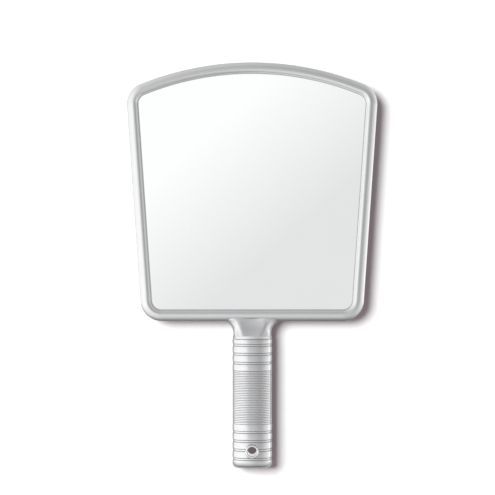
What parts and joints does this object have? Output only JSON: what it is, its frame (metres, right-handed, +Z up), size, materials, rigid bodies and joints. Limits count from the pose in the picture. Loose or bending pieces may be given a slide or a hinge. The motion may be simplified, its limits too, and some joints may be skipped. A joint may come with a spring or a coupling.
{
  "type": "hand mirror",
  "caption": "Salon hand mirror with a wide arched glass in a rolled rim, on a straight ring-ribbed handle with a hanging eyelet.",
  "frame": {"origin": "middle of the grip: on the handle's centre line, at the middle of its thickness and of its finely ribbed zone", "axes": "+Z up along the handle to the top of the head, -Y out of the glass towards the user, +X to the right as the user sees the glass"},
  "size_m": [0.1958, 0.0241, 0.3175],
  "materials": {
    "silver_paint": "moulded plastic with satin silver metallic paint",
    "silvered_glass": "polished float glass, silvered behind, ground edge",
    "backing_film": "matt vinyl safety film",
    "pad_foam": "closed-cell adhesive foam",
    "plated_metal": "bright nickel plate",
    "screw_steel": "zinc-plated steel"
  },
  "bodies": {
    "root": {"front_bezel": "silver_paint", "rear_cover": "silver_paint", "handle_front_shell": "silver_paint", "handle_rear_shell": "silver_paint", "mirror_glass": "silvered_glass", "safety_film": "backing_film", "foam_pad_top": "pad_foam", "foam_pad_bottom": "pad_foam", "foam_pad_left": "pad_foam", "foam_pad_right": "pad_foam", "hanging_eyelet": "plated_metal", "eyelet_washer": "plated_metal", "handle_screw_upper": "screw_steel", "handle_screw_middle": "screw_steel", "handle_screw_lower": "screw_steel", "rim_screw_1": "screw_steel", "rim_screw_2": "screw_steel", "rim_screw_3": "screw_steel", "rim_screw_4": "screw_steel", "rim_screw_5": "screw_steel", "rim_screw_6": "screw_steel"}
  },
  "joints": []
}
